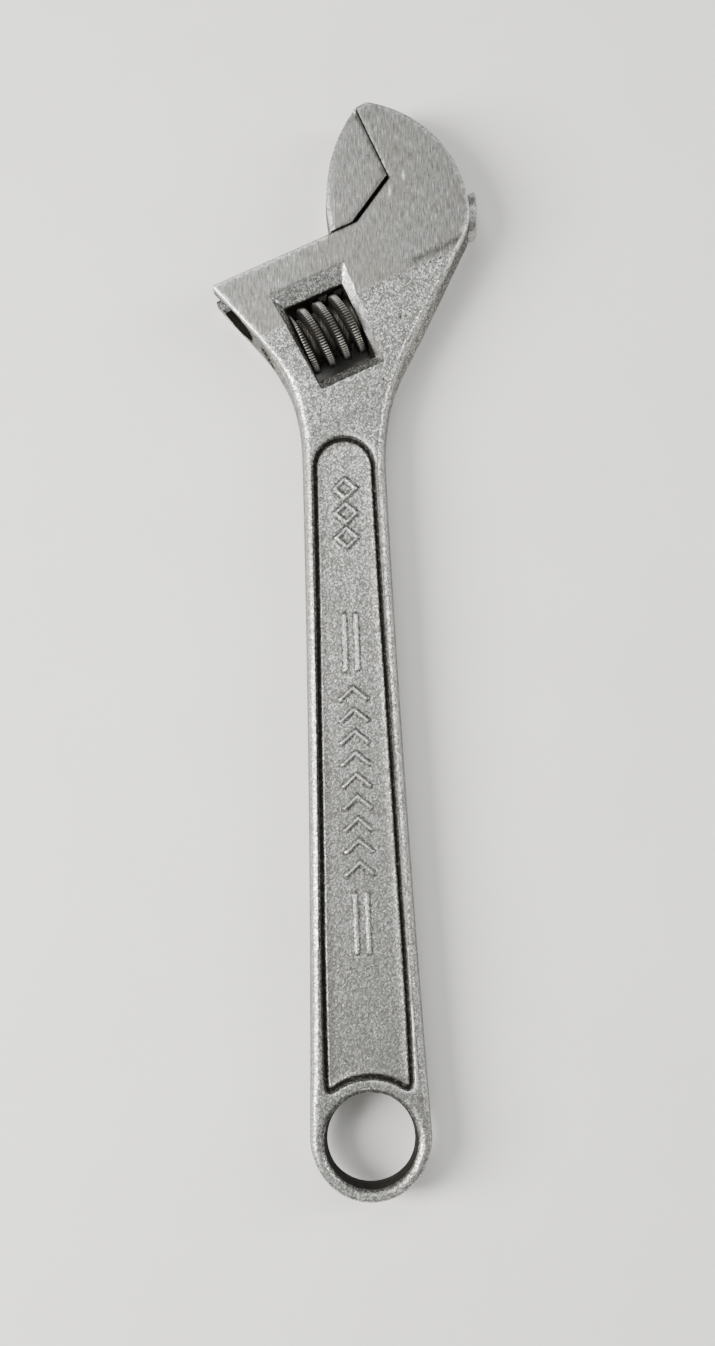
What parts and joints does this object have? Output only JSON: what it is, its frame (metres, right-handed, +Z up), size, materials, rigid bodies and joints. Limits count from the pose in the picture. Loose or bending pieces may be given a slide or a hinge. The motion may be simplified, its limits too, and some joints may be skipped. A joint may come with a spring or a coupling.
{
  "type": "adjustable wrench",
  "caption": "Adjustable open-end wrench: forged body with a fixed jaw and a ring to hang it by, and a movable jaw on a slide rod driven by a knurled worm.",
  "frame": {"origin": "centre of the hanging hole, on the mid-plane of the handle", "axes": "+Y along the handle towards the head, +X to the right when the jaws point up and the movable jaw is on the left, +Z up through the thickness"},
  "size_m": [0.0634, 0.2536, 0.0156],
  "materials": {
    "plated_steel": "satin plated forging, head faces ground",
    "jaw_steel": "satin plated forging, faces ground",
    "worm_steel": "turned and knurled, oily",
    "pin_steel": "turned",
    "spring_steel": "drawn wire"
  },
  "bodies": {
    "wrench_body": {"forged_body": "plated_steel", "worm_pin": "pin_steel", "pin_spring": "spring_steel"},
    "jaw": {"movable_jaw": "jaw_steel"},
    "worm": {"adjusting_worm": "worm_steel"}
  },
  "joints": [
    {"name": "jaw_slide", "type": "slide", "parent": "wrench_body", "child": "jaw", "axis": [-0.9239, -0.3827, 0], "range_m": [0, 0.0286]},
    {"name": "worm_spin", "type": "hinge", "parent": "wrench_body", "child": "worm", "pos_m": [-0.00262, 0.18616, 0], "axis": [0.9239, 0.3827, 0], "range_deg": [0, 2575]}
  ],
  "couplings": [
    {"joint": "worm_spin", "follows": "jaw_slide", "rad_per_m": 1570.8}
  ]
}
